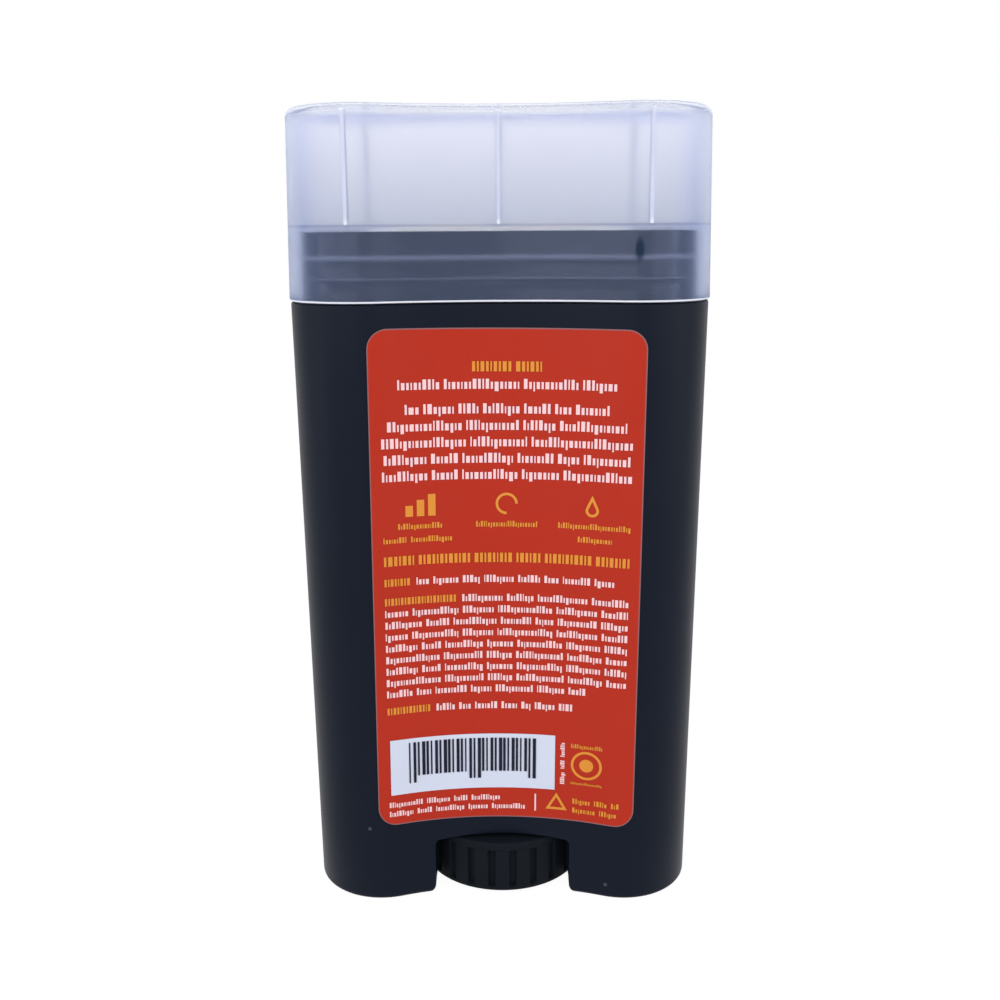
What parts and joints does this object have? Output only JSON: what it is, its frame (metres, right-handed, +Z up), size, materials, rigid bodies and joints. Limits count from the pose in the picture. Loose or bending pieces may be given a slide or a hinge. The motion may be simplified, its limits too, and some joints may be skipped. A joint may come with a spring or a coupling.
{
  "type": "deodorant stick",
  "caption": "Twist-up deodorant stick with an oval hollow-faced barrel, thumb wheel, lifting platform, frosted cap and a plain printed label on each face",
  "frame": {"origin": "middle of the foot, on the surface that the stick stands on", "axes": "+Z up along the barrel to the cap, +X across the broad face, the printed back label faces -Y"},
  "size_m": [0.0642, 0.0307, 0.1249],
  "materials": {
    "barrel_black": "satin moulded polypropylene, navy black",
    "cap_frosted": "frosted translucent polypropylene",
    "wheel_black": "satin moulded black",
    "screw_grey": "natural unpigmented moulding",
    "platform_black": "satin moulded black",
    "stick_cream": "smooth waxy solid",
    "label_orange": "semi-gloss film label, orange red",
    "print_white": "printed ink",
    "print_amber": "printed ink",
    "panel_pale": "printed ink",
    "print_navy": "printed ink"
  },
  "bodies": {
    "case": {"barrel": "barrel_black", "back_label": "label_orange", "back_print_white": "print_white", "back_print_amber": "print_amber", "code_panel": "panel_pale", "code_bars": "print_navy", "front_label": "label_orange", "front_print": "print_amber"},
    "cap": {"cap": "cap_frosted"},
    "drive": {"dial": "wheel_black", "spindle": "screw_grey"},
    "lift": {"elevator": "platform_black", "product": "stick_cream"}
  },
  "joints": [
    {"name": "dial_turn", "type": "hinge", "parent": "case", "child": "drive", "pos_m": [0, 0, 0.012], "axis": [0, 0, 1], "range_deg": [-5319, 1269]},
    {"name": "platform_lift", "type": "slide", "parent": "case", "child": "lift", "axis": [0, 0, 1], "range_m": [-0.059, 0.014]},
    {"name": "cap_pull", "type": "slide", "parent": "case", "child": "cap", "axis": [0, 0, 1], "range_m": [0, 0.045]}
  ],
  "couplings": [
    {"joint": "dial_turn", "follows": "platform_lift", "rad_per_m": 1570.8}
  ]
}
